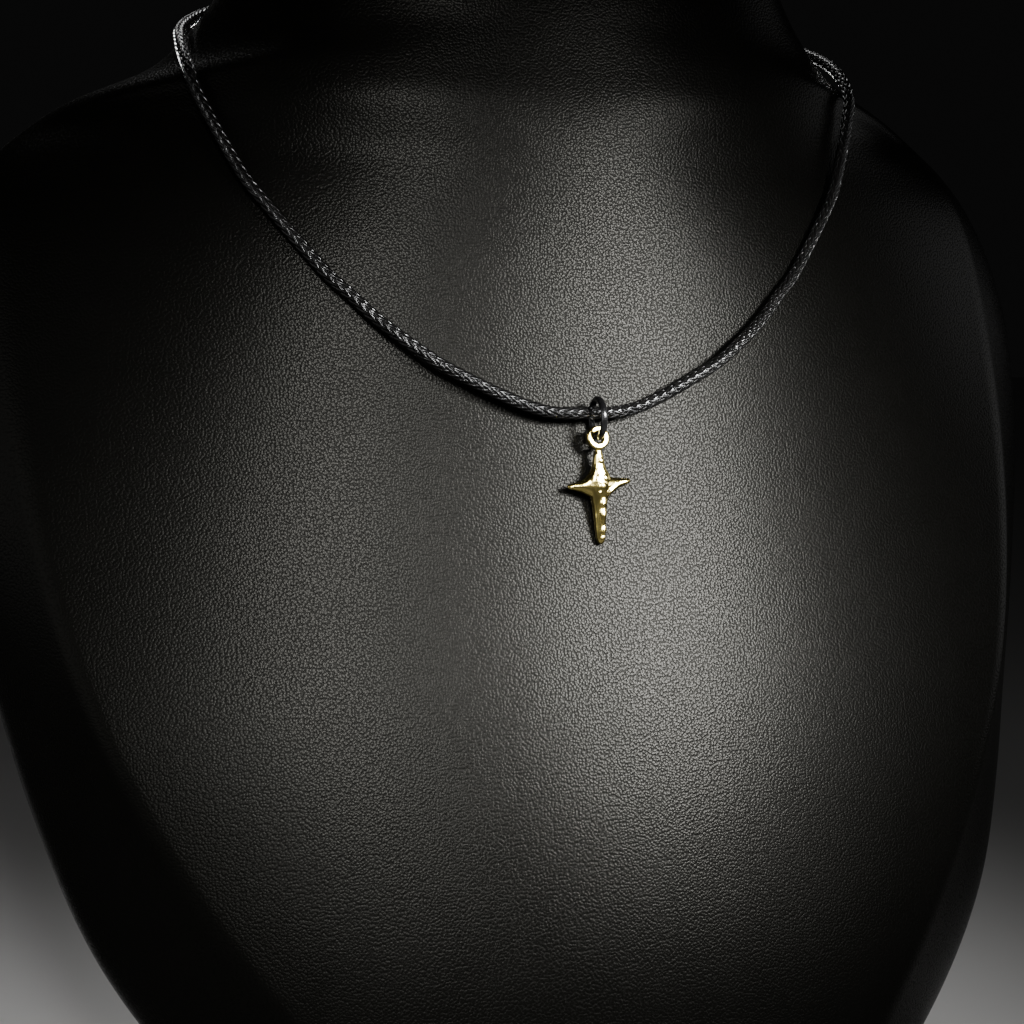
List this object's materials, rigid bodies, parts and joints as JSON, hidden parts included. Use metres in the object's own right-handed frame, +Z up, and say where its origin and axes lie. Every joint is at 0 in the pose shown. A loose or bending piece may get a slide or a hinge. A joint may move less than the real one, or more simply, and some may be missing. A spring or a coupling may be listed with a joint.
{
  "type": "cross necklace on a neck bust",
  "caption": "Small cast cross pendant on a round braided cord, hung from a ring in front of a plain display bust with a leaning face, bevelled sides, a neck and a flat base.",
  "frame": {"origin": "middle of the bust's flat base, on the surface that it stands on", "axes": "+Z up towards the neck's top, -Y the way that the chest faces, +X to the right as seen from the front"},
  "size_m": [0.2044, 0.1084, 0.215],
  "materials": {
    "leatherette": "satin black with a fine pebbled grain",
    "waxed_cord": "black braid under a glossy wax",
    "black_metal": "polished black plating",
    "gold": "polished pale yellow gold"
  },
  "bodies": {
    "root": {"bust_form": "leatherette", "cord": "waxed_cord", "clasp": "black_metal", "jump_ring": "black_metal", "cross_pendant": "gold"}
  },
  "joints": []
}
